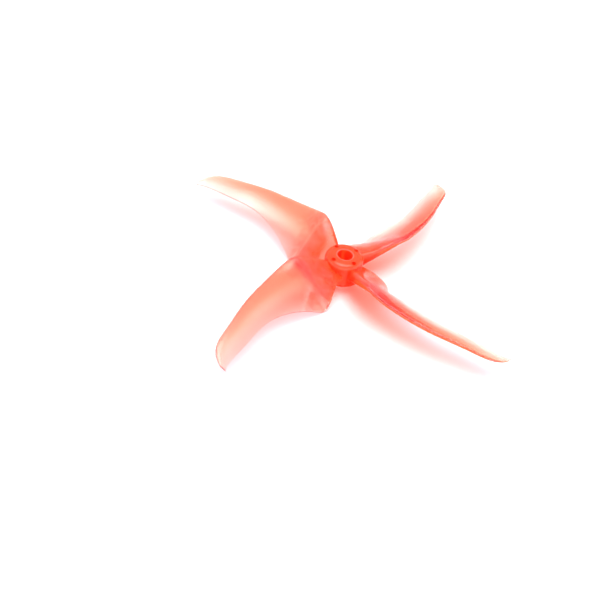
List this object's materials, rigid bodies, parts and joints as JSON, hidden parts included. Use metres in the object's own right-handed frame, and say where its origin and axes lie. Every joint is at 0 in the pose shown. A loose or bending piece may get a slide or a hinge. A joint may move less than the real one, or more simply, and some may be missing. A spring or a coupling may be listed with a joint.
{
  "type": "multirotor propeller",
  "caption": "Scimitar-bladed drone propeller with a round hub and a through bore for the motor shaft, moulded in clear red plastic.",
  "frame": {"origin": "on the bore axis, in the plane of the hub's lower seat face that rests on the motor", "axes": "+Z along the bore axis, up out of the hub's top face; blade_1 points midway between +X and +Y, and the others follow at equal angles, anticlockwise seen from above"},
  "size_m": [0.0944, 0.0944, 0.0136],
  "materials": {
    "tinted_plastic": "smooth clear red moulding, see-through where it is thin"
  },
  "bodies": {
    "root": {"hub": "tinted_plastic", "blade_1": "tinted_plastic", "blade_2": "tinted_plastic", "blade_3": "tinted_plastic", "blade_4": "tinted_plastic"}
  },
  "joints": []
}
